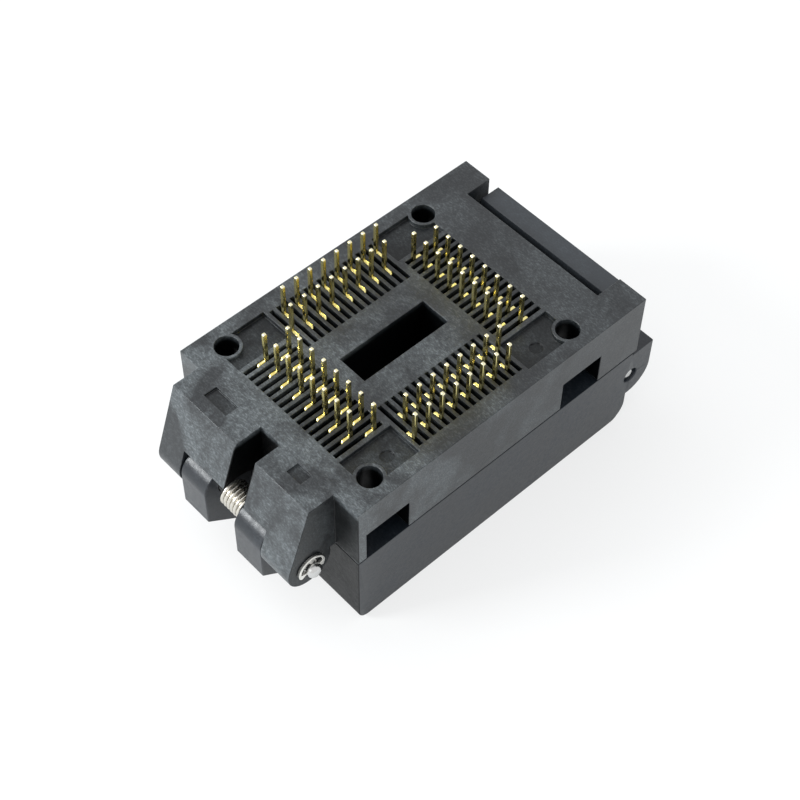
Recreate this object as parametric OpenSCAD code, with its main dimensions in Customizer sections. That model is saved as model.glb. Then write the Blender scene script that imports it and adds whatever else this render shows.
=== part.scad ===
// Clamshell test socket for a square gull-wing package, shown closed and lying on its lid.
// Origin: centre of the contact array on the mounting face. +X hinge to latch, +Z along the solder tails.

/* [Contacts] */
// spacing of neighbouring contacts along one side
pitch = 0.8; // [0.5:0.05:0.8]
// contacts on each of the four sides, an even count
per_side = 16; // [8:2:16]
// thickness of the stamped contact
contact_t = 0.32; // [0.15:0.01:0.34]
// radial width of a solder tail
tail_w = 0.4; // [0.3:0.05:0.5]
// length of the solder tails above the mounting face
tail_len = 3.55; // [2:0.05:5]
// distance from the centre to a contact tip, where a lead foot lands
tip_r = 8.5; // [8.3:0.05:8.6]
// offset of the first tail row from the tip
tail_a = -0.6; // [-0.8:0.05:-0.5]
// spacing of the two tail rows
row_gap = 2.03; // [1.6:0.01:2.3]
// length of the bright foot beside a tail
foot_len = 1.05; // [0.8:0.05:1.2]
// width of the moulded contact slots
slot_w = 0.42; // [0.36:0.01:0.5]
// reach of a slot behind the tip
slot_back = 1.5; // [1.2:0.05:1.7]
// reach of a slot ahead of the tip
slot_ahead = 3.93; // [3.8:0.01:4]

/* [Base] */
// overall height of the base
base_h = 7.5; // [7:0.1:9]
// overall width of the base and the lid
body_w = 23.8; // [23.4:0.1:26]
// hinge end of the base body
base_x0 = -15; // [-15.2:0.05:-14.6]
// latch end of the base body
base_x1 = 20.35; // [19.8:0.05:21]
// ejection window length
window_l = 10.1; // [6:0.1:12]
// ejection window width
window_w = 3.3; // [2:0.1:4]
// depth of the corner recesses around the slot blocks
pocket_d = 0.5; // [0.2:0.05:1]
// latch notch bottom
notch_x = 17.36; // [17:0.05:17.8]
// half width of the latch notch
notch_y = 8.6; // [8.4:0.05:9]
// depth of the catch ledge below the mounting face
ledge_z = 3.2; // [2.6:0.1:4]
// end of the catch ledge
ledge_x = 19; // [18.7:0.05:19.1]

/* [Mounting] */
// mounting hole diameter
mount_d = 2.3; // [2:0.1:2.6]
// mounting hole spacing along X
mount_sx = 24; // [23.8:0.1:24.2]
// mounting hole spacing along Y
mount_sy = 19.1; // [18.8:0.1:19.4]
// X of the mounting pattern centre
mount_cx = 0.45; // [0.3:0.05:0.7]
// width of the raised rim round a mounting hole
mount_rim = 0.32; // [0.2:0.02:0.5]
// size of the screw head recess
head_pocket = 5; // [4.4:0.1:5.2]
// depth from the mounting face to the head seat
head_z = 3.85; // [3:0.05:4.5]

/* [Hinge] */
// hinge axis X
hinge_x = -18; // [-18.3:0.05:-17.8]
// hinge axis below the underside of the base
hinge_drop = 0.5; // [0.2:0.05:0.8]
// hinge pin diameter
pin_d = 1.5; // [1.2:0.05:1.7]
// nose radius of the base ears
ear_r = 2.4; // [2:0.05:2.5]
// barrel radius of the lid knuckles
knuckle_r = 2.3; // [2:0.05:2.4]
// relief radius in the base over the knuckles
relief_r = 3.2; // [3.1:0.05:3.4]
// half width of the hinge lugs
lug_y = 9.1; // [8.6:0.1:10]
// offset of the lugs along the hinge axis
lug_cy = 0.2; // [0:0.05:0.3]
// hinge end of the flat lug tops
lug_x = -17.8; // [-18:0.05:-17.4]
// hinge spring wire
hs_wire = 0.52; // [0.4:0.02:0.6]
// radial gap between the hinge spring and the pin
hs_gap = 0.2; // [0.1:0.01:0.35]
// hinge spring coils
hs_coils = 6; // [4:1:6]
// retaining clip outside diameter
clip_d = 3; // [2.6:0.1:3.4]
// retaining clip thickness
clip_t = 0.3; // [0.2:0.05:0.6]

/* [Lid] */
// overall height of the lid
lid_h = 9.5; // [9:0.1:11]
// parting gap between base and lid
part_gap = 0.1; // [0.05:0.01:0.2]
// latch end of the lid below its ears
lid_x1 = 19.85; // [19.4:0.05:20]
// wall left outside the latch between the ears
lid_wall_x = 16.6; // [16:0.1:17]
// bottom corner radius at the hinge end
lid_r0 = 1.2; // [0.6:0.1:2]
// bottom corner radius at the latch end
lid_r1 = 2; // [1:0.1:2.4]
// depth of the pad cavity from the lid's parting face
cav_d = 5.3; // [5:0.1:6]

/* [Latch] */
// latch axis X
latch_x = 20.05; // [19.8:0.05:20.1]
// latch axis below the parting face of the lid
latch_drop = 3.5; // [3:0.05:3.6]
// latch pin diameter
lpin_d = 1.2; // [1:0.05:1.4]
// lid ear radius round the latch pin
lear_r = 2.72; // [2.5:0.02:2.8]
// drop of the ear tops below the lid's parting face
lear_drop = 0.25; // [0:0.05:0.4]
// latch half width
latch_y = 8.1; // [7.6:0.05:8.2]
// latch spring wire
ls_wire = 0.42; // [0.3:0.02:0.46]

/* [Fits] */
// radial clearance of a turning pin
run_c = 0.05; // [0.02:0.01:0.1]
// radial clearance of a fixed pin
fix_c = 0.02; // [0.01:0.01:0.05]
// side clearance between moving mouldings
side_c = 0.1; // [0.05:0.01:0.15]

/* [Hidden] */
$fn = 48;
e = 0.01;
half = body_w/2;
row = (per_side - 1)/2*pitch;
tail_b = tail_a + row_gap;
// inside heights, measured down from the mounting face
well_z = base_h - 1.6;
tip_z = well_z + 0.85;
slot_z = well_z - 1;
lid_z1 = -base_h - part_gap;
lid_z0 = lid_z1 - lid_h;
hinge_z = -base_h - hinge_drop;
latch_z = lid_z1 - latch_drop;
cav_z = lid_z1 - cav_d;
// corner recesses beside the slot blocks
pocket_x0 = row + 0.6;
pocket_x1 = tip_r + slot_ahead + 0.07;
pocket_y0 = row + 0.7;
pocket_y1 = tip_r + 1.9;
// edges of one contact stamping: holding bar, spring arm, foot
bar_z0 = 1 - slot_z;
bar_z1 = bar_z0 + 0.6;
arm_z0 = 0.2 - slot_z;
arm_z1 = arm_z0 + 0.4;
foot_z = -0.05;
stem_in = 0.25;
tip_cut = 0.12;
// package corner guides, and the pad that presses the leads
guide_in = tip_r - 1.4;
nest_t = 0.9;
nest_x = tip_r - 2.5;
nest_y = 3.2;
nest_screw_r = 0.5;
nest_head_r = 1;
cav = tip_r + 1.4;
pad_gap = 0.2;
plate_z = cav_z + 1.5;
plate_t = 2.2;
pad_s = tip_r - 1.9;
pad_screw_r = 0.8;
pad_neck_r = 0.6;
pad_head_r = 1.55;
leaf_t = 0.25;
// knuckle and ear faces along the hinge
k1a = 2.7;
k1b = 6.15;
k2a = -5;
k2b = -1.35;
arm_drop = 4;
ear_far = k1b + side_c;
ear_near = k2a - side_c;
// open bay for the hinge spring, and the spring
slot_y0 = -1.95;
slot_y1 = 0.62;
hs_r = pin_d/2 + hs_gap + hs_wire/2;
hs_y = 0.48;
hs_pitch = hs_wire - 0.04;
hs_half = (hs_coils - 1)/2*hs_pitch;
leg_in = 1.8;
leg_c = hs_wire/2 + 0.15;
// shallow marks left by the mould
mark_d = 0.3;
ejector_r = 0.65;
// retaining clips and their grooves
clip_y = lug_y + 0.05;
pin_half = clip_y + clip_t + 0.75;
groove_r = pin_d/2 - 0.15;
// latch spring
ls_r = lpin_d/2 + 0.24 + ls_wire/2;
ls_n = 7;
ls_p = ls_wire - 0.04;
ls_y = 0.5;
ls_half = (ls_n - 1)/2*ls_p;
latch_barrel = 1.7;
latch_out = 1.3;
lpin_sink_r = 0.85;
lpin_sink = 0.5;
lpin_end = 0.15;
mx = [for (s = [-1, 1]) mount_cx + s*mount_sx/2];
my = [-mount_sy/2, mount_sy/2];
black = [0.13, 0.13, 0.14];
black2 = [0.18, 0.18, 0.19];
gold = [0.83, 0.68, 0.3];
steel = [0.75, 0.76, 0.78];

// box from two corners
module box(a, b) translate(a) cube(b - a);
// XZ profile extruded along Y from y0 to y1
module prof(y0, y1) translate([0, y1, 0]) rotate([90, 0, 0]) linear_extrude(y1 - y0) children();
// cylinder along Y
module ycyl(x, z, r, y0, y1) translate([x, y1, z]) rotate([90, 0, 0]) cylinder(r = r, h = y1 - y0);
// upright cylinder from z0 to z1
module zcyl(x, y, r, z0, z1) translate([x, y, z0]) cylinder(r = r, h = z1 - z0);

// the four sides: 0 hinge, 1 near, 2 latch, 3 far; u runs from the tip towards the contact's body
function side_a(s) = [180, 270, 0, 90][s];
function side_d(s) = (s == 0 || s == 2) ? 1 : -1;
// place a child made at u = 0 on side s, number k counted from the row's first contact
module place(s, k) rotate([0, 0, side_a(s)]) translate([tip_r, -row + k*pitch, 0])
  scale_dir(side_d(s)) children();
module scale_dir(d) if (d > 0) children(); else rotate([0, 0, 180]) children();

// one contact: slot bar, foot, solder tail and spring arm, in one flat stamping
module contact(ut) {
  hw = tail_w/2;
  neck_h = 0.95;
  lap_z = bar_z1 - 0.2;
  rotate([90, 0, 0]) linear_extrude(contact_t, center = true) union() {
    polygon([[-slot_back, bar_z0], [slot_ahead, bar_z0], [slot_ahead, bar_z1], [-slot_back, bar_z1]]);
    // stem, foot and tail
    polygon([[ut + stem_in, lap_z], [ut + foot_len, lap_z], [ut + foot_len, foot_z - 0.2],
      [ut + foot_len - 0.2, foot_z], [ut + hw, foot_z], [ut + hw, tail_len - tip_cut],
      [ut + hw - tip_cut/2, tail_len], [ut - hw + tip_cut/2, tail_len], [ut - hw, tail_len - tip_cut],
      [ut - hw, foot_z - neck_h], [ut + stem_in, foot_z - neck_h]]);
    // spring arm down to the tip
    polygon([[slot_ahead, lap_z], [slot_ahead, arm_z0], [0.3, arm_z0], [0.3, 0.25 - tip_z],
      [0.1, -tip_z], [-0.1, -tip_z], [-0.3, 0.25 - tip_z], [-0.3, arm_z1],
      [slot_ahead - 0.5, arm_z1], [slot_ahead - 0.5, lap_z]]);
  }
}
// every second contact of a side: first = 0 or 1
module contact_row(s, first, ut) {
  color(gold) for (k = [first:2:per_side - 1]) place(s, k) contact(ut);
}

module lug_profile() {
  // tangent from the lug's top edge to the nose circle
  d = norm([lug_x - hinge_x, -hinge_z]);
  a = atan2(-hinge_z, lug_x - hinge_x) + acos(ear_r/d);
  polygon([[base_x0 + 0.5, 0], [lug_x, 0],
    [hinge_x + ear_r*cos(a), hinge_z + ear_r*sin(a)], [hinge_x, hinge_z],
    [hinge_x + ear_r*0.9, -base_h], [base_x0 + 0.5, -base_h]]);
}

module base_housing() color(black) difference() {
  union() {
    difference() {
      box([base_x0, -half, -base_h], [base_x1, half, 0]);
      // latch notch above the ledge, and beside its end
      box([notch_x, -notch_y, -ledge_z], [base_x1 + 1, notch_y, 1]);
      box([ledge_x, -notch_y, -base_h - 1], [base_x1 + 1, notch_y, 1]);
      // contact array recesses at the four corners, with the rims of the mounting holes left
      for (i = [0, 1], j = [0, 1]) difference() {
        mirror([1 - i, 0, 0]) mirror([0, 1 - j, 0])
          box([pocket_x0, pocket_y0, -pocket_d], [pocket_x1, pocket_y1, 1]);
        zcyl(mx[i], my[j], mount_d/2 + mount_rim, -2, 2);
      }
    }
    // hinge lugs: full profile at the ears, relieved over the knuckles
    difference() {
      union() {
        prof(lug_cy - lug_y, lug_cy + lug_y) lug_profile();
        ycyl(hinge_x, hinge_z, ear_r, lug_cy - lug_y, lug_cy + lug_y);
      }
      ycyl(hinge_x, hinge_z, relief_r, ear_near, ear_far);
      box([hinge_x - 4, ear_near, hinge_z - 4], [hinge_x + 1, ear_far, hinge_z]);
      box([lug_x - 5, slot_y0, hinge_z - 5], [base_x0, slot_y1, 1]);
    }
  }
  // contact slots and the comb openings above the tips
  for (s = [0:3], k = [0:per_side - 1]) place(s, k) {
    box([-slot_back, -slot_w/2, -slot_z], [slot_ahead, slot_w/2, 1]);
    box([-0.5, -slot_w/2, -well_z - 1], [0.5, slot_w/2, -slot_z + e]);
  }
  // well on the package side
  well0 = tip_r + 0.3;
  well1 = tip_r + 1.1;
  box([-well0, -well1, -base_h - 1], [well0, well1, -well_z]);
  box([-well1, -row - 0.6, -base_h - 1], [well1, row + 0.6, -well_z]);
  // ejection window
  box([-window_l/2, -window_w/2, -base_h], [window_l/2, window_w/2, 1]);
  // mounting holes and the screw head recesses open to the side walls
  for (i = [0, 1], j = [0, 1]) {
    zcyl(mx[i], my[j], mount_d/2, -base_h, 1);
    sy = 2*j - 1;
    box([mx[i] - head_pocket/2, min(sy*(mount_sy/2 - head_pocket/2), sy*(half + 1)), -base_h - 1],
      [mx[i] + head_pocket/2, max(sy*(mount_sy/2 - head_pocket/2), sy*(half + 1)), -head_z]);
  }
  // hinge pin bore
  ycyl(hinge_x, hinge_z, pin_d/2 + run_c, -half, half);
  // groove for the hinge spring's upper leg
  box([base_x0 - 1, hs_y - hs_half - leg_c, -base_h - 1], [base_x0 + leg_in, hs_y - hs_half + leg_c,
    hinge_z + hs_r + hs_wire/2 + 0.05]);
  // blank moulding recesses on the lug tops
  box([base_x0 - 1.5, 3.6, -mark_d], [base_x0 - 0.1, 6.6, 1]);
  box([base_x0 - 1.4, -6.2, -mark_d], [base_x0 - 0.1, -4.4, 1]);
  // ejector marks in the near recesses
  zcyl(-8.8, -8.7, ejector_r, -pocket_d - 0.1, 0);
  zcyl(9.1, -8.9, ejector_r, -pocket_d - 0.1, 0);
  // nest screw holes
  nest_points() zcyl(0, 0, nest_screw_r + fix_c, -base_h, -well_z + 2);
}

module nest_points() for (x = [-nest_x, nest_x], y = [-nest_y, nest_y]) translate([x, y, 0]) children();
module pad_points() for (x = [-pad_s, pad_s], y = [-pad_s, pad_s]) translate([x, y, 0]) children();

module nest() color(black2) difference() {
  floor_r = tip_r - 1;
  c0 = row + 0.45;
  c1 = tip_r + 0.2;
  union() {
    box([-floor_r, -floor_r, -well_z - nest_t], [floor_r, floor_r, -well_z]);
    for (a = [0:90:270]) rotate([0, 0, a]) difference() {
      box([c0, c0, -base_h + 0.1], [c1, c1, -well_z]);
      box([0, 0, -base_h - 1], [guide_in, guide_in, -well_z - nest_t]);
    }
  }
  box([-window_l/2, -window_w/2, -base_h], [window_l/2, window_w/2, 0]);
  nest_points() zcyl(0, 0, nest_screw_r + 0.1, -base_h, 0);
  nest_points() zcyl(0, 0, nest_head_r + fix_c, -base_h, -well_z - 0.4);
}

module nest_screws() color(steel) nest_points() difference() {
  union() {
    zcyl(0, 0, nest_screw_r, -well_z - 0.6, -well_z + 1.8);
    zcyl(0, 0, nest_head_r, -well_z - 0.8, -well_z - 0.4);
  }
  translate([0, 0, -well_z - 0.8]) cube([0.25, 1.4, 0.4], center = true);
}

// side outline of the lid below its ears
module lid_profile(x1, r1) union() {
  polygon([[base_x0, lid_z1], [x1, lid_z1], [x1, lid_z0 + r1], [x1 - r1, lid_z0 + r1],
    [x1 - r1, lid_z0], [base_x0 + lid_r0, lid_z0], [base_x0 + lid_r0, lid_z0 + lid_r0],
    [base_x0, lid_z0 + lid_r0]]);
  translate([x1 - r1, lid_z0 + r1]) circle(r1);
  translate([base_x0 + lid_r0, lid_z0 + lid_r0]) circle(lid_r0);
}
module arm(y0, y1) {
  ycyl(hinge_x, hinge_z, knuckle_r, y0, y1);
  foot = lid_z0 + 0.8;
  prof(y0, y1) polygon([[hinge_x - knuckle_r, hinge_z], [hinge_x - knuckle_r, hinge_z - arm_drop],
    [base_x0, foot], [base_x0 + 1, foot], [base_x0 + 1, lid_z1], [hinge_x, lid_z1],
    [hinge_x, hinge_z]]);
}
module lid() color(black) difference() {
  union() {
    prof(-half, half) lid_profile(lid_x1, lid_r1);
    for (s = [-1, 1]) {
      y0 = min(s*notch_y, s*half);
      y1 = max(s*notch_y, s*half);
      ycyl(latch_x, latch_z, lear_r, y0, y1);
      box([latch_x - lear_r, y0, latch_z], [latch_x + lear_r, y1, lid_z1 - lear_drop]);
    }
    arm(k1a, k1b);
    arm(k2a, k2b);
  }
  // bay for the latch between the ears
  box([lid_wall_x, -notch_y, lid_z0 - 1], [latch_x + 9, notch_y, lid_z1 + 1]);
  // pad cavity
  box([-cav, -cav, cav_z], [cav, cav, lid_z1 + 1]);
  // pins
  ycyl(hinge_x, hinge_z, pin_d/2 + fix_c, k2a - 1, k1b + 1);
  ycyl(latch_x, latch_z, lpin_d/2 + fix_c, -half - 1, half + 1);
  for (s = [-1, 1]) ycyl(latch_x, latch_z, lpin_sink_r, min(s*(half - lpin_sink), s*(half + 1)),
    max(s*(half - lpin_sink), s*(half + 1)));
  // retaining screw holes with sunk heads in the outer face
  pad_points() zcyl(0, 0, pad_screw_r + 0.1, lid_z0 - 1, lid_z1);
  pad_points() zcyl(0, 0, pad_head_r + 0.2, lid_z0 - 1, lid_z0 + 1.9);
  // seats for the spring legs
  box([base_x0 - 1, hs_y + hs_half - leg_c, hinge_z - hs_r - hs_wire/2 - 0.05],
    [base_x0 + leg_in, hs_y + hs_half + leg_c, hinge_z - hs_r + hs_wire/2 + 0.05]);
  box([lid_wall_x - 1.4, ls_y + ls_half - 0.4, latch_z - ls_r - 0.4],
    [lid_wall_x + 1, ls_y + ls_half + 0.5, latch_z - ls_r + 0.4]);
  // shallow blank panel on the outer face
  box([-8.5, -4, lid_z0 - 1], [8.5, 4, lid_z0 + 0.3]);
}

module pressure_pad() color(black2) difference() {
  plate = cav - pad_gap;
  union() {
    box([-plate, -plate, plate_z], [plate, plate, plate_z + plate_t]);
    // bars that press the leads onto the contacts, and a boss for the package
    for (a = [0:90:270]) rotate([0, 0, a])
      box([tip_r - 0.75, -row - 0.3, plate_z], [tip_r + 0.25, row + 0.3, -tip_z - 0.3]);
    box([-4, -4, plate_z], [4, 4, -base_h - 0.6]);
  }
  pad_points() zcyl(0, 0, pad_neck_r + fix_c, plate_z - 1, plate_z + 1.8);
}

// two bowed leaf springs under the pad
module pad_springs() color(steel) for (y = [-2.4, 2.4]) prof(y - 1.3, y + 1.3)
  polygon([[-8.6, cav_z], [-6.6, cav_z], [-3.2, plate_z - leaf_t], [3.2, plate_z - leaf_t],
    [6.6, cav_z], [8.6, cav_z], [8.6, cav_z + leaf_t], [6.7, cav_z + leaf_t], [3.3, plate_z],
    [-3.3, plate_z], [-6.7, cav_z + leaf_t], [-8.6, cav_z + leaf_t]]);

module pad_screws() color(steel) pad_points() difference() {
  head_z = lid_z0 + 0.9;
  union() {
    zcyl(0, 0, pad_screw_r, head_z + 0.6, plate_z);
    zcyl(0, 0, pad_neck_r, plate_z - 0.5, plate_z + 1.8);
    zcyl(0, 0, pad_head_r, head_z, lid_z0 + 1.88);
  }
  for (a = [0, 90]) translate([0, 0, head_z]) rotate([0, 0, a]) cube([0.35, 1.9, 0.9], center = true);
}

module hinge_pin() color(steel) translate([0, lug_cy, 0]) difference() {
  union() {
    ycyl(hinge_x, hinge_z, pin_d/2, -pin_half + 0.25, pin_half - 0.25);
    ycyl(hinge_x, hinge_z, pin_d/2 - 0.2, -pin_half, pin_half);
  }
  for (s = [-1, 1]) difference() {
    ycyl(hinge_x, hinge_z, pin_d, min(s*clip_y, s*(clip_y + clip_t)) - 0.03,
      max(s*clip_y, s*(clip_y + clip_t)) + 0.03);
    ycyl(hinge_x, hinge_z, groove_r, -pin_half, pin_half);
  }
}
// open retaining rings in the pin's grooves
module hinge_clips() color(steel) for (s = [-1, 1])
  translate([hinge_x, lug_cy + s*(clip_y + clip_t/2), hinge_z])
  rotate([90, 0, 0]) linear_extrude(clip_t, center = true) difference() {
    circle(d = clip_d);
    circle(groove_r + fix_c);
    translate([0, -clip_d/2]) square([1.3*groove_r, clip_d], center = true);
    for (a = [75, 180, 285]) rotate(a - 90) translate([0, clip_d*0.29]) circle(clip_d*0.085);
  }

// close-wound coils round a pin
module coils(x, z, r, w, n, p, yc) for (i = [0:n - 1]) translate([x, yc + (i - (n - 1)/2)*p, z])
  rotate([90, 0, 0]) rotate_extrude() translate([r, 0]) circle(d = w, $fn = 24);
// straight leg of a spring, a little thinner than the wire so that it fuses into its coil
module leg(w, h) cylinder(r = w/2 - 0.02, h = h, $fn = 24);
module hinge_spring() color(steel) union() {
  reach = base_x0 + leg_in - 0.3 - hinge_x;
  coils(hinge_x, hinge_z, hs_r, hs_wire, hs_coils, hs_pitch, hs_y);
  translate([hinge_x, hs_y - hs_half, hinge_z + hs_r]) rotate([0, 90, 0]) leg(hs_wire, reach);
  translate([hinge_x, hs_y + hs_half, hinge_z - hs_r]) rotate([0, 90, 0]) leg(hs_wire, reach);
}
module latch_spring() color(steel) union() {
  reach = latch_x - lid_wall_x + 1.3;
  coils(latch_x, latch_z, ls_r, ls_wire, ls_n, ls_p, ls_y);
  translate([latch_x - reach, ls_y + ls_half, latch_z - ls_r]) rotate([0, 90, 0]) leg(ls_wire, reach);
  translate([latch_x - ls_r, ls_y - ls_half, latch_z - 3.2]) leg(ls_wire, 3.2);
}

module latch() color(black) difference() {
  window_h = ls_half + ls_wire/2 + 0.55;
  union() {
    // hook, stem and thumb tab
    prof(-latch_y, latch_y) polygon([[ledge_x - 0.95, -ledge_z + 0.05], [ledge_x - 0.95, -ledge_z + 0.7],
      [ledge_x - 0.1, -ledge_z + 1.9], [latch_x + latch_out - 0.25, -ledge_z + 1.9],
      [latch_x + latch_out - 0.05, -ledge_z + 1.6], [latch_x + latch_out, latch_z - 1.9],
      [latch_x + 2.4, latch_z - 3], [latch_x + 2.4, latch_z - 4.6], [latch_x - 0.7, latch_z - 4.6],
      [latch_x - 0.65, latch_z + 1.6], [latch_x - 0.5, latch_z + 3], [latch_x - 0.5, -ledge_z + 0.05]]);
    ycyl(latch_x, latch_z, latch_barrel, -latch_y, latch_y);
  }
  ycyl(latch_x, latch_z, lpin_d/2 + run_c, -latch_y - 1, latch_y + 1);
  // finger grooves on the tab
  for (i = [0:2]) ycyl(latch_x + 2.4, latch_z - 3.3 - i*0.5, 0.15, -latch_y - 1, latch_y + 1);
  // window for the spring
  box([latch_x - 2.5, ls_y - window_h, latch_z - latch_barrel - 0.2],
    [latch_x + 2.5, ls_y + window_h, latch_z + latch_barrel + 0.2]);
  // lightening pockets in the inner face, beside the spring
  for (s = [-1, 1]) box([latch_x - 3, min(s*3.6, s*7), -ledge_z - 4.2],
    [latch_x + 0.3, max(s*3.6, s*7), -ledge_z - 0.9]);
}
module latch_pin() color(steel) union() {
  ycyl(latch_x, latch_z, lpin_d/2, -half + lpin_end + 0.15, half - lpin_end - 0.15);
  ycyl(latch_x, latch_z, lpin_d/2 - 0.15, -half + lpin_end, half - lpin_end);
}

base_housing();
nest();
nest_screws();
lid();
pressure_pad();
pad_springs();
pad_screws();
hinge_pin();
hinge_clips();
hinge_spring();
latch();
latch_pin();
latch_spring();
contact_row(0, 1, tail_a);  // contacts_hinge_a
contact_row(0, 0, tail_b);  // contacts_hinge_b
contact_row(2, 1, tail_a);  // contacts_latch_a
contact_row(2, 0, tail_b);  // contacts_latch_b
contact_row(1, 0, tail_a);  // contacts_near_a
contact_row(1, 1, tail_b);  // contacts_near_b
contact_row(3, 0, tail_a);  // contacts_far_a
contact_row(3, 1, tail_b);  // contacts_far_b
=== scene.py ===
"""Clamshell test socket, closed and lying on its lid with the solder tails up.

The CAD nodes give every size and place; this script gives the moulded plastic its rounded edges and
mottled skin, the contacts their stamped and plated look, and the springs, clips and pins their turns."""
import math

import bmesh
import bpy
import numpy as np
from mathutils import Matrix, Vector


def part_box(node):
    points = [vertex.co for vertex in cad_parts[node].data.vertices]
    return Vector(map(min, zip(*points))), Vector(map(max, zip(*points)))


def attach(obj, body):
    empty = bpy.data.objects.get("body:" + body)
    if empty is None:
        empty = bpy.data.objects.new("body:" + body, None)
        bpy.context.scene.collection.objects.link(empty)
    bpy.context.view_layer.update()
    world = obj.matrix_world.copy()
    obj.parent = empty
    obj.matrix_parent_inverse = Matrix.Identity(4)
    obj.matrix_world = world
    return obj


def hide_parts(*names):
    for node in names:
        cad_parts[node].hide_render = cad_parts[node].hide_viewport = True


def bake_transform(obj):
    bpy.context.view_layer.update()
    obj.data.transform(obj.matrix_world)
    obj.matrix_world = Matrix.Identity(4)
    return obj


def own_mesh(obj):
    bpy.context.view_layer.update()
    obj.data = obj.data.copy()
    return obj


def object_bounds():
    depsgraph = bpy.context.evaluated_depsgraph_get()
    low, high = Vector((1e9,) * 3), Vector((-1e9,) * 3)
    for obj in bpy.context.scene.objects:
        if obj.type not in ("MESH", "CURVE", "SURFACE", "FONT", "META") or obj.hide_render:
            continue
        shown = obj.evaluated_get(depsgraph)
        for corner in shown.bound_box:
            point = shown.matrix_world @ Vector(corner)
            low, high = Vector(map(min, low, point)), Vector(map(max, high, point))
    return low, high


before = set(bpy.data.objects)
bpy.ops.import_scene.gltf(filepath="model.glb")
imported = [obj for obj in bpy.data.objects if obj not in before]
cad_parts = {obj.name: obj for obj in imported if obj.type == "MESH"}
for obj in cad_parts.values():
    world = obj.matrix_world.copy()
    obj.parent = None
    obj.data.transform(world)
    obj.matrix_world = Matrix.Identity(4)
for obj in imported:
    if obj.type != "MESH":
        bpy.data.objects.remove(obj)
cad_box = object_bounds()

MM = 0.001
scene = bpy.context.scene
scene.view_settings.view_transform = "Standard"


# ---------------------------------------------------------------- studio
# A white table under a large soft box, with a weaker white room around it: product light, no hard shadow.
# The camera stands off the hinge end and the near side, looking well down on the mounting face.

def linear(hex6):
    """Linear RGBA of an sRGB hex colour: c / 12.92 in the toe, else ((c + 0.055) / 1.055) to the 2.4."""
    c = np.array([int(hex6[i:i + 2], 16) for i in (0, 2, 4)]) / 255
    c = np.where(c <= 0.04045, c / 12.92, ((c + 0.055) / 1.055) ** 2.4)
    return (*c.tolist(), 1.0)


def node(tree, kind, inputs=(), out=0, **settings):
    """Adds a shader node, sets its properties and returns one of its outputs, or the node if it has none.
    The inputs are a dict by name or a tuple in order; a socket is linked, and anything else is set."""
    n = tree.nodes.new("ShaderNode" + kind)
    for name, value in settings.items():
        setattr(n, name, value)
    for key, value in (inputs if isinstance(inputs, dict) else dict(enumerate(inputs))).items():
        if isinstance(value, bpy.types.NodeSocket):
            tree.links.new(value, n.inputs[key])
        else:
            n.inputs[key].default_value = value
    return n.outputs[out] if n.outputs else n


def new_material(name):
    """A bare Principled material: (material, its node tree, its shader)."""
    m = bpy.data.materials.new(name)
    m.use_nodes = True
    tree = m.node_tree
    tree.nodes.clear()
    shader = node(tree, "BsdfPrincipled").node
    node(tree, "OutputMaterial", {"Surface": shader.outputs[0]})
    return m, tree, shader


# Where the camera stands, in degrees round and above the point it looks at, and how far off.
AZIMUTH, ELEVATION, ROLL = math.radians(-43.29), math.radians(53.04), math.radians(0.92)
TARGET = Vector((-4.17, -5.29, 0)) * MM
DISTANCE = 151.1 * MM

lens = bpy.data.cameras.new("camera")
lens.lens, lens.sensor_width = 77.94, 36
lens.clip_start, lens.clip_end = 5 * MM, 10
camera = bpy.data.objects.new("camera", lens)
sight = Vector((math.sin(AZIMUTH) * math.cos(ELEVATION), -math.cos(AZIMUTH) * math.cos(ELEVATION),
                math.sin(ELEVATION)))
camera.matrix_world = (Matrix.Translation(TARGET + sight * DISTANCE)
                       @ sight.to_track_quat("Z", "Y").to_matrix().to_4x4() @ Matrix.Rotation(ROLL, 4, "Z"))
scene.collection.objects.link(camera)
scene.camera = camera

TABLE_REACH = 0.8
TABLE_GAP = 0.01 * MM          # keeps the table's face out of the lid's
SEEN_WHITE = 0.7               # share of plain white the camera sees in the table; the rest keeps the shadow
REFLECTED_WHITE = 0.35         # the same for what is reflected or seen through
table_z = cad_box[0][2] - TABLE_GAP
table_mesh = bpy.data.meshes.new("table")
table_mesh.from_pydata([(x * TABLE_REACH, y * TABLE_REACH, table_z)
                        for x, y in ((-1, -1), (1, -1), (1, 1), (-1, 1))], [], [(0, 1, 2, 3)])
table = bpy.data.objects.new("table", table_mesh)
scene.collection.objects.link(table)
laminate, tree, shader = new_material("white laminate")
shader.inputs["Base Color"].default_value = linear("fafafa")
shader.inputs["Roughness"].default_value = 0.6
shader.inputs["Specular IOR Level"].default_value = 0.2
glow = node(tree, "Emission", {"Strength": 1.0})
rays = node(tree, "LightPath").node.outputs
seen = node(tree, "Math", (rays["Is Camera Ray"], SEEN_WHITE), operation="MULTIPLY")
shown = node(tree, "Math", (rays["Is Glossy Ray"], rays["Is Transmission Ray"]), operation="MAXIMUM")
seen = node(tree, "Math", (shown, REFLECTED_WHITE, seen), operation="MULTIPLY_ADD")
mixed = node(tree, "MixShader", (seen, shader.outputs[0], glow))
tree.links.new(mixed, tree.nodes["Material Output"].inputs["Surface"])
table_mesh.materials.append(laminate)

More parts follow.
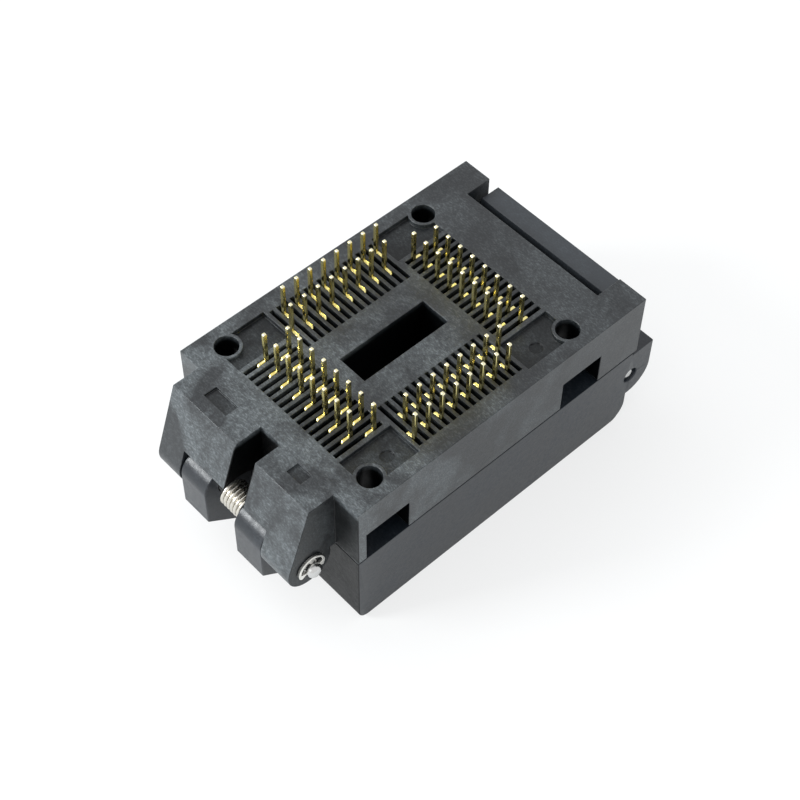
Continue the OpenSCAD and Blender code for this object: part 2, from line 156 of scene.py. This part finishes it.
# The room lights the object a little cool and under full strength, and shows as plain white.
DAYLIGHT = (0.95, 0.985, 1.0)
ROOM_STRENGTH = 0.85
room = bpy.data.worlds.new("white room")
room.use_nodes = True
tree = room.node_tree
rays = node(tree, "LightPath").node.outputs
seen = node(tree, "Math", (rays["Is Camera Ray"], rays["Is Glossy Ray"]), operation="MAXIMUM")
seen = node(tree, "Math", (seen, rays["Is Transmission Ray"]), operation="MAXIMUM")
tint = node(tree, "Mix", {"Factor": seen, "A": (*DAYLIGHT, 1), "B": linear("ffffff")}, "Result",
            data_type="RGBA")
strength = node(tree, "MapRange", (seen, 0.0, 1.0, ROOM_STRENGTH, 1.0))
tree.links.new(tint, tree.nodes["Background"].inputs["Color"])
tree.links.new(strength, tree.nodes["Background"].inputs["Strength"])
scene.world = room


def soft_box(name, at, size, watts):
    """A square area lamp at a point, turned to face the object's middle."""
    lamp = bpy.data.lights.new(name, "AREA")
    lamp.shape, lamp.size, lamp.energy, lamp.color = "SQUARE", size, watts, DAYLIGHT
    box = bpy.data.objects.new(name, lamp)
    at = Vector(at)
    box.matrix_world = Matrix.Translation(at) @ at.to_track_quat("Z", "Y").to_matrix().to_4x4()
    scene.collection.objects.link(box)


soft_box("far box", (-0.10, 0.24, 0.37), 0.26, 0.45)
soft_box("corner box", (-0.35, 0.22, 0.225), 0.135, 1.45)
soft_box("left box", (-0.42, 0.04, 0.20), 0.22, 0.1)


# ---------------------------------------------------------------- base housing
# Glass-filled polyethersulphone, injection moulded in a spark-eroded tool: a dull charcoal with pale glass
# near the skin, patches where the flow left the skin shinier, and edges rounded by a few hundredths.

def noise(tree, size_mm, stretch=(1, 1, 1), turn=(0, 0, 0), detail=2.0, warp=0.0):
    """Noise whose grain is size_mm across, on Object coordinates turned and then stretched along an axis."""
    place = node(tree, "TexCoord", out="Object")
    place = node(tree, "Mapping", {"Vector": place, "Rotation": turn, "Scale": stretch})
    return node(tree, "TexNoise", {"Vector": place, "Scale": 1 / (size_mm * MM), "Detail": detail,
                                   "Roughness": 0.6, "Distortion": warp}, "Fac")


def painted_shade_depth(tree, rows, reach=0.55):
    """How much painted shade a point gets, 0 to 1: the most over the rows (x0, x1, y0, y1, z0, z1, most), in
    millimetres, each a box: 0 outside it, and inside rising from 0 at z1 to its most at z1 - reach."""
    axes = node(tree, "SeparateXYZ", (node(tree, "TexCoord", out="Object"),)).node.outputs
    shade_amount = 0.0
    for *edges, most in rows:
        top = edges[5] * MM
        box = node(tree, "MapRange", (axes[2], top, top - reach * MM, 0.0, most))
        for axis, low, high in zip(axes, edges[::2], edges[1::2]):
            middle, half = (low + high) / 2 * MM, (high - low) / 2 * MM
            inside = node(tree, "Math", (axis, middle, half), operation="COMPARE")
            box = node(tree, "Math", (box, inside), operation="MULTIPLY")
        shade_amount = node(tree, "Math", (shade_amount, box), operation="MAXIMUM")
    return shade_amount


# Real fibres are about 0.01 mm thick and 0.2 mm long: they are drawn over ten times thicker, so as to show.
FIBRE_TURNS = ((0.3, 0.5, 0.2), (0.9, -0.4, 1.9), (-0.5, 0.8, 3.0), (1.7, 0.1, 0.9))


def glass_filled(name, skin, bloom, fibre, shine, bloom_and_light_at_hinge, bloom_and_light_at_latch, shade_boxes=(), index=1.55):
    """Moulded glass-filled plastic. Clouds a few millimetres across say where the filler blooms: there the
    colour goes from skin to bloom, short fibres show, and the surface is duller. How much it blooms goes
    evenly from the hinge end to the latch end; a lighter hinge end, as on the base, is painted light from
    that side.
    In the hollows shade is painted: the colour goes nearly black and the reflection is turned down, where
    little light gets down."""
    m, tree, shader = new_material(name)
    cloud = node(tree, "MapRange", (noise(tree, 6.0, detail=6.0, warp=0.6), 0.42, 0.60, 0.0, 1.0))
    wisps = node(tree, "MapRange", (noise(tree, 0.5, detail=5.0, warp=0.4), 0.38, 0.62, 0.0, 1.0))
    broken = node(tree, "Math", (wisps, 0.5, 0.5), operation="MULTIPLY_ADD")
    veil = node(tree, "Math", (cloud, broken), operation="MULTIPLY")
    veil = node(tree, "Math", (wisps, 0.14, veil), operation="MULTIPLY_ADD")
    along = node(tree, "SeparateXYZ", (node(tree, "TexCoord", out="Object"),), "X")
    # Painted light: the bloom, and so the lightness, changes along the length; on the base it is lighter at
    # the hinge end.
    bloom_and_painted_light = node(tree, "MapRange", (along, -12 * MM, 15 * MM, bloom_and_light_at_hinge, bloom_and_light_at_latch))
    veil = node(tree, "Math", (veil, bloom_and_painted_light), operation="MULTIPLY")
    fibres = node(tree, "MapRange", (noise(tree, 0.16, detail=2.0), 0.56, 0.72, 0.0, 1.0))
    for turn in FIBRE_TURNS:
        strand = node(tree, "MapRange", (noise(tree, 0.13, (1, 0.35, 1), turn, 0.0), 0.64, 0.80, 0.0, 1.0))
        fibres = node(tree, "Math", (strand, fibres), operation="MAXIMUM")
    bared = node(tree, "Math", (veil, 0.5, 0.08), operation="MULTIPLY_ADD")
    fibres = node(tree, "Math", (fibres, bared), operation="MULTIPLY")
    colour = node(tree, "Mix", {"Factor": veil, "A": linear(skin), "B": linear(bloom)}, "Result",
                  data_type="RGBA")
    colour = node(tree, "Mix", {"Factor": fibres, "A": colour, "B": linear(fibre)}, "Result",
                  data_type="RGBA")
    shader.inputs["IOR"].default_value = index
    if shade_boxes:
        painted_shade = painted_shade_depth(tree, shade_boxes)
        # Painted shade: inside the boxes the colour goes nearly black and the reflection is turned down.
        colour = node(tree, "Mix", {"Factor": painted_shade, "A": colour, "B": linear("030405")}, "Result",
                      data_type="RGBA")
        shade_specular = node(tree, "MapRange", (painted_shade, 0.0, 1.0, 0.5, 0.12))
        tree.links.new(shade_specular, shader.inputs["Specular IOR Level"])
    tree.links.new(colour, shader.inputs["Base Color"])
    rough = node(tree, "Math", (veil, 0.14, shine), operation="MULTIPLY_ADD")
    rough = node(tree, "Math", (wisps, 0.05, rough), operation="MULTIPLY_ADD")
    tree.links.new(rough, shader.inputs["Roughness"])
    height = node(tree, "Math", (wisps, 0.5, noise(tree, 0.12, detail=3.0)), operation="MULTIPLY_ADD")
    bump = node(tree, "Bump", {"Height": height, "Strength": 0.6, "Distance": 0.014 * MM})
    tree.links.new(bump, shader.inputs["Normal"])
    return m


SHARP = math.radians(35)


def rounded(name, source, body, radius, material, segments=2):
    """A CAD node's mesh, copied, its doubles merged and flat faces rejoined, its sharp edges bevelled. The
    normals are weighted by face area, so that the flats stay flat up to the bevel."""
    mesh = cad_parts[source].data.copy()
    mesh.materials.clear()
    bm = bmesh.new()
    bm.from_mesh(mesh)
    bmesh.ops.remove_doubles(bm, verts=bm.verts, dist=0.001 * MM)
    bmesh.ops.join_triangles(bm, faces=bm.faces, angle_face_threshold=math.radians(0.5),
                             angle_shape_threshold=math.pi)
    bm.to_mesh(mesh)
    bm.free()
    mesh.shade_smooth()
    mesh.set_sharp_from_angle(angle=SHARP)
    piece = bpy.data.objects.new(name, mesh)
    scene.collection.objects.link(piece)
    bevel = piece.modifiers.new("moulded edges", "BEVEL")
    bevel.width, bevel.segments, bevel.limit_method = radius, segments, "ANGLE"
    bevel.angle_limit, bevel.use_clamp_overlap = SHARP, False
    flats = piece.modifiers.new("flat normals", "WEIGHTED_NORMAL")
    flats.mode, flats.weight, flats.keep_sharp = "FACE_AREA", 80, True
    mesh.materials.append(material)
    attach(piece, body)
    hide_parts(source)
    return piece


# Painted shade on the housing: in these boxes its slots, recesses, spring bay and the walls by the near lug
# go nearly black.
BASE_PAINTED_SHADE = [
    (-14.9, 17.2, -11.8, 11.8, -4.6, -0.18, 1.0),    # what opens on the mounting face
    (-14.1, -9.0, -11.8, 11.8, -7.4, -0.18, 1.0),    # screw-head recesses, hinge end
    (9.9, 15.0, -11.8, 11.8, -7.4, -0.18, 1.0),      # screw-head recesses, latch end
    (-5.2, 5.2, -1.8, 1.8, -7.4, -0.18, 1.0),        # ejection window
    (-20.4, -14.9, -2.05, 0.72, -10.3, -0.18, 1.0),  # hinge spring's bay
    (-15.1, -14.9, -12.0, -8.85, -7.4, -0.25, 0.85),  # end wall beside the near lug
    (-20.5, -15.1, -12.0, -8.85, -10.5, 1.0, 0.6),   # near side of the near lug
    (-16.6, -15.0, 3.5, 6.7, -0.4, -0.05, 0.9),      # blank recess on the far lug
    (-16.5, -15.0, -6.3, -4.3, -0.4, -0.05, 0.9),    # blank recess on the near lug
]
# A lighter painted shade over each contact row, between the tails.
COMB_PAINTED_SHADE = 0.3
for row in ("contacts_hinge_a", "contacts_latch_a", "contacts_near_a", "contacts_far_a"):
    lo, hi = (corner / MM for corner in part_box(row))
    BASE_PAINTED_SHADE.append((lo.x, hi.x, lo.y, hi.y, lo.z, 1.0, COMB_PAINTED_SHADE))
# The base blooms 1.1 at the hinge end and 0.34 at the latch end: a painted gradient of light from the hinge
# end.
BASE_PLASTIC = glass_filled("glass-filled plastic, mottled", "0d1217", "484d50", "7a8083", 0.33, 1.1, 0.34,
                            BASE_PAINTED_SHADE)
rounded("base_moulding", "base_housing", "base", 0.06 * MM, BASE_PLASTIC)


# ---------------------------------------------------------------- nest
# A small moulded frame that the package sits in, with a guide at each corner. Its plastic is finer-grained
# and duller than the housing's. Four plain steel screws hold it in the base.

NEST_PLASTIC = glass_filled("insert plastic, fine grain", "15181b", "262a2e", "50545a", 0.42, 0.6, 0.6)
rounded("package_nest", "nest", "base", 0.05 * MM, NEST_PLASTIC)


def worn_metal(name, colour, rough, scratch_mm=0.25, bump_um=1.0):
    """Bright metal whose roughness drifts in soft patches and whose drawing lines run one way. Real drawing
    lines are a few hundredths of a millimetre apart: they are drawn coarser, so that they show."""
    m, tree, shader = new_material(name)
    shader.inputs["Base Color"].default_value = linear(colour)
    shader.inputs["Metallic"].default_value = 1.0
    patches = node(tree, "MapRange", (noise(tree, 0.9, detail=3.0), 0.3, 0.7, rough * 0.75, rough * 1.35))
    tree.links.new(patches, shader.inputs["Roughness"])
    lines = noise(tree, scratch_mm, (1, 0.1, 1), detail=2.0)
    bump = node(tree, "Bump", {"Height": lines, "Strength": 0.4, "Distance": bump_um * 0.001 * MM})
    tree.links.new(bump, shader.inputs["Normal"])
    return m


SCREW_STEEL = worn_metal("steel screw, plain", "a9aaac", 0.34)
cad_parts["nest_screws"].data.materials.clear()
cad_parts["nest_screws"].data.materials.append(SCREW_STEEL)


# ---------------------------------------------------------------- contacts
# Stamped beryllium copper, gold over nickel, sheared edges slightly rolled. The tail ends go pale, a
# painted highlight on the tips.

def plated(name):
    """Gold plate that pales towards white over the last part of a tail, a painted highlight on the tips: the
    blend follows height.
    """
    m, tree, shader = new_material(name)
    shader.inputs["Metallic"].default_value = 1.0
    height = node(tree, "SeparateXYZ", (node(tree, "TexCoord", out="Object"),), "Z")
    tip = cad_box[1][2]
    # Painted highlight: the colour pales over the top 0.1 to 0.4 mm of every tail.
    tip_highlight = node(tree, "MapRange", (height, tip - 0.40 * MM, tip - 0.10 * MM, 0.0, 1.0))
    stain = node(tree, "MapRange", (noise(tree, 0.35, detail=3.0), 0.35, 0.7, 0.0, 1.0))
    gold = node(tree, "Mix", {"Factor": stain, "A": linear("faeda4"), "B": linear("e2d48c")}, "Result",
                data_type="RGBA")
    colour = node(tree, "Mix", {"Factor": tip_highlight, "A": gold, "B": linear("f2ecc8")}, "Result",
                  data_type="RGBA")
    tree.links.new(colour, shader.inputs["Base Color"])
    rough = node(tree, "MapRange", (stain, 0.0, 1.0, 0.12, 0.22))
    tree.links.new(rough, shader.inputs["Roughness"])
    return m


GOLD = plated("gold plate, highlight painted on tail ends")
for row in ("hinge_a", "hinge_b", "latch_a", "latch_b", "near_a", "near_b", "far_a", "far_b"):
    rounded("tails_" + row, "contacts_" + row, "base", 0.05 * MM, GOLD)


# ---------------------------------------------------------------- lid
# The half that lies on the table, moulded with the hinge's knuckles and the latch's ears. The same plastic as
# the base from a polished tool: darker and smoother, with little bloom.

# Painted shade on the lid and latch: the end wall under the base's lugs and the hook's sloping face in the
# notch go nearly black.
LID_PAINTED_SHADE = [
    (-15.06, -14.94, -12.0, 12.0, -17.2, -5.6, 0.9),  # end wall under the base's lugs
    (17.9, 18.95, -8.2, 8.2, -3.3, -1.3, 0.9),        # sloping face of the hook, in the notch
]
LID_PLASTIC = glass_filled("glass-filled plastic, smooth", "12181f", "232931", "4a5056", 0.28, 0.45, 0.45,
                           LID_PAINTED_SHADE, 1.5)
rounded("lid_moulding", "lid", "lid", 0.09 * MM, LID_PLASTIC)


# ---------------------------------------------------------------- pressure pad
# A moulded plate that floats in the lid and presses the package. It stands on two bowed leaves of rolled
# spring steel; four screws from outside keep it.

rounded("floating_pad", "pressure_pad", "pad", 0.06 * MM, NEST_PLASTIC)
LEAF_STEEL = worn_metal("spring steel, rolled", "b4b2ac", 0.3)
leaves = rounded("pad_leaves", "pad_springs", "lid", 0.02 * MM, LEAF_STEEL)
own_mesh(leaves)
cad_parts["pad_screws"].data.materials.clear()
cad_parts["pad_screws"].data.materials.append(SCREW_STEEL)


# ---------------------------------------------------------------- hinge
# A ground pin of hardened steel through the base's lugs and the lid's knuckles, with a plated snap ring in a
# groove at each end, and a torsion spring of drawn stainless wire wound round it in the bay.

def solid(name, points, faces, body, slot, material, stands_for=None):
    """A mesh object from an array of points and a list of faces, smooth where faces meet under 40 degrees."""
    mesh = bpy.data.meshes.new(name)
    mesh.from_pydata(points.tolist(), [], faces)
    mesh.materials.append(material)
    mesh.shade_smooth()
    mesh.set_sharp_from_angle(angle=math.radians(40))
    piece = bpy.data.objects.new(name, mesh)
    scene.collection.objects.link(piece)
    if body:
        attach(piece, body)
    if stands_for:
        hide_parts(stands_for)
    return piece


def tube_faces(rings, around):
    """Quads between neighbouring rings of points, and one polygon over each end."""
    i, j = np.meshgrid(np.arange(rings - 1), np.arange(around), indexing="ij")
    k = (j + 1) % around
    quads = np.stack([i * around + j, i * around + k, (i + 1) * around + k, (i + 1) * around + j], -1)
    faces = quads.reshape(-1, 4).tolist()
    return faces + [list(range(around))[::-1], list(range((rings - 1) * around, rings * around))]


def lathe_y(x, z, stations, around=48):
    """A turned part on an axis along Y: stations are (y, radius) rows, each swept into a ring of points."""
    y, r = np.asarray(stations, float).T
    a = np.linspace(0, 2 * np.pi, around, endpoint=False)
    ring = np.stack([np.cos(a), np.zeros(around), -np.sin(a)], -1)
    points = r[:, None, None] * ring + np.array([x, 0, z]) + y[:, None, None] * np.array([0, 1, 0])
    return points.reshape(-1, 3), tube_faces(len(y), around)


def wire(path, radius, side, around=14):
    """A round wire along a path: at each point a circle across the tangent t, from the unit vectors
    n = side less its part along t, and t x n. The last ring at each end is drawn in, for a soft cut edge."""
    path, side = np.asarray(path, float), np.asarray(side, float)
    t = np.gradient(path, axis=0)
    t /= np.linalg.norm(t, axis=1, keepdims=True)
    n = side - (side * t).sum(1, keepdims=True) * t
    n /= np.linalg.norm(n, axis=1, keepdims=True)
    b = np.cross(t, n)
    a = np.linspace(0, 2 * np.pi, around, endpoint=False)
    r = np.full(len(path), radius)
    r[[0, -1]] *= 0.7
    circle = np.cos(a)[None, :, None] * n[:, None] + np.sin(a)[None, :, None] * b[:, None]
    points = path[:, None] + r[:, None, None] * circle
    return points.reshape(-1, 3), tube_faces(len(path), around)


def torsion_spring(x, z, y0, y1, coil_r, wire_r, start, finish, leg0, leg1, per_turn=40):
    """A coil round a Y axis from angle start at y0 to angle finish at y1, (x + R cos a, y, z + R sin a),
    with a straight leg on the tangent at each end."""
    turns = (finish - start) / (2 * np.pi)
    a = np.linspace(start, finish, int(turns * per_turn) + 1)
    coil = np.stack([x + coil_r * np.cos(a), np.linspace(y0, y1, len(a)), z + coil_r * np.sin(a)], -1)
    radial = np.stack([np.cos(a), np.zeros(len(a)), np.sin(a)], -1)
    steps = np.linspace(0, 1, 6)
    tangent = np.stack([-np.sin(a), np.zeros(len(a)), np.cos(a)], -1)
    first = coil[0] - tangent[0] * leg0 * (1 - steps[:-1, None])
    last = coil[-1] + tangent[-1] * leg1 * steps[1:, None]
    path = np.concatenate([first, coil, last])
    side = np.concatenate([np.repeat(radial[:1], 5, 0), radial, np.repeat(radial[-1:], 5, 0)])
    return wire(path, wire_r, side)


PIN_STEEL = worn_metal("hardened steel pin, ground", "c9c9c8", 0.2)
SPRING_STEEL = worn_metal("stainless spring wire", "cfcbc2", 0.24)
RING_STEEL = worn_metal("nickel-plated snap ring", "e8e7e2", 0.3)

pin_lo, pin_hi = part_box("hinge_pin")
hinge_x, hinge_z = (pin_lo.x + pin_hi.x) / 2, (pin_lo.z + pin_hi.z) / 2
pin_r = (pin_hi.x - pin_lo.x) / 2
clip_lo, clip_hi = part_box("hinge_clips")
mid_y = (pin_lo.y + pin_hi.y) / 2
ring_y1 = clip_hi.y - mid_y
ring_t = 0.3 * MM
groove_r = pin_r - 0.15 * MM
half_pin = pin_hi.y - mid_y
slack = 0.03 * MM
end = np.array([(half_pin, pin_r * 0.45), (half_pin - 0.06 * MM, pin_r * 0.66),
                (half_pin - 0.22 * MM, pin_r * 0.92), (half_pin - 0.36 * MM, pin_r),
                (ring_y1 + 2 * slack, pin_r), (ring_y1 + slack, pin_r - slack), (ring_y1 + slack, groove_r),
                (ring_y1 - ring_t - slack, groove_r), (ring_y1 - ring_t - slack, pin_r)])
stations = np.concatenate([end * [-1, 1], end[::-1]]) + [mid_y, 0]
solid("hinge_shaft", *lathe_y(hinge_x, hinge_z, stations), "lid", "bright_steel", PIN_STEEL, "hinge_pin")


def snap_ring(y0, y1, x, z, outer, inner, mouth, around=120):
    """An E-shaped ring: over the angles left by the mouth, the inner edge is a smooth max of three pads that
    reach the groove and a relieved arc between them; the section is a rectangle with its corners cut."""
    a = np.linspace(-np.pi / 2 + mouth / 2, 1.5 * np.pi - mouth / 2, around)
    pads = [np.pi / 2, a[0] + 0.16, a[-1] - 0.16]
    pad = np.max([np.exp(-((a - p) / 0.24) ** 4) for p in pads], axis=0)
    inside = outer * 0.82 + (inner - outer * 0.82) * pad
    ends = np.minimum(a - a[0], a[-1] - a)
    outside = outer - 0.12 * MM * np.exp(-ends / 0.06)
    c = 0.05 * MM
    y = np.array([y0 + c, y0, y0, y0 + c, y1 - c, y1, y1, y1 - c])
    inset = np.array([0, c, -c, 0, 0, -c, c, 0])
    edge = np.array([1, 1, 0, 0, 0, 0, 1, 1])
    r = np.where(edge == 1, outside[:, None] - inset, inside[:, None] - inset)
    across, up = x + r * np.cos(a)[:, None], z + r * np.sin(a)[:, None]
    points = np.stack([across, np.broadcast_to(y, r.shape), up], -1)
    return points.reshape(-1, 3), tube_faces(around, 8)


RING_MOUTH = 2.2               # radians left open
ring_r = (clip_hi.z - clip_lo.z) / 2
for side_name, s in (("near", -1), ("far", 1)):
    y0, y1 = sorted((mid_y + s * ring_y1, mid_y + s * (ring_y1 - ring_t)))
    ring = snap_ring(y0, y1, hinge_x, hinge_z, ring_r, groove_r + 0.01 * MM, RING_MOUTH)
    ring = solid("snap_ring_" + side_name, *ring, "lid", "bright_steel", RING_STEEL)
    if s > 0:
        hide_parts("hinge_clips")

COIL_CLEAR = 0.02 * MM
coil_lo, coil_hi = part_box("hinge_spring")
wire_r = 0.22 * MM
coil_r = (coil_hi.z - coil_lo.z) / 2 - wire_r - COIL_CLEAR
y_mid = (coil_lo.y + coil_hi.y) / 2
y_half = (coil_hi.y - coil_lo.y) / 2 - wire_r - COIL_CLEAR
leg = coil_hi.x - hinge_x
coil = torsion_spring(hinge_x, hinge_z, y_mid - y_half, y_mid + y_half, coil_r, wire_r,
                      np.pi / 2, np.pi * 11.5, leg, leg)
spring = solid("hinge_coil", *coil, None, "bright_steel", SPRING_STEEL, "hinge_spring")
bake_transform(spring)


# ---------------------------------------------------------------- latch
# A moulded bar with a hook and a thumb tab, satin from its tool, on its own steel pin between the lid's ears.
# A second torsion spring of drawn stainless wire throws it shut.

LATCH_PLASTIC = glass_filled("glass-filled plastic, satin", "2b2f34", "353a3f", "4a5056", 0.30, 0.4, 0.4,
                             LID_PAINTED_SHADE, 1.5)
rounded("latch_bar", "latch", "latch", 0.03 * MM, LATCH_PLASTIC)
lpin_lo, lpin_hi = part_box("latch_pin")
latch_x, latch_z = (lpin_lo.x + lpin_hi.x) / 2, (lpin_lo.z + lpin_hi.z) / 2
lpin_r = (lpin_hi.x - lpin_lo.x) / 2
end = np.array([(lpin_hi.y, lpin_r * 0.35), (lpin_hi.y - 0.03 * MM, lpin_r * 0.62),
                (lpin_hi.y - 0.10 * MM, lpin_r * 0.86), (lpin_hi.y - 0.22 * MM, lpin_r)])
stations = np.concatenate([end * [-1, 1], end[::-1]])
solid("latch_shaft", *lathe_y(latch_x, latch_z, stations), "lid", "bright_steel", PIN_STEEL, "latch_pin")

coil_lo, coil_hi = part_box("latch_spring")
wire_r = 0.17 * MM
coil_r = coil_hi.x - latch_x - 0.21 * MM
y_mid = (coil_lo.y + coil_hi.y) / 2
y_half = (coil_hi.y - coil_lo.y) / 2 - wire_r - COIL_CLEAR
coil = torsion_spring(latch_x, latch_z, y_mid + y_half, y_mid - y_half, coil_r, wire_r,
                      -np.pi / 2, np.pi * 13, latch_x - coil_lo.x, latch_z - coil_lo.z)
spring = solid("latch_coil", *coil, None, "bright_steel", SPRING_STEEL, "latch_spring")
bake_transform(spring)
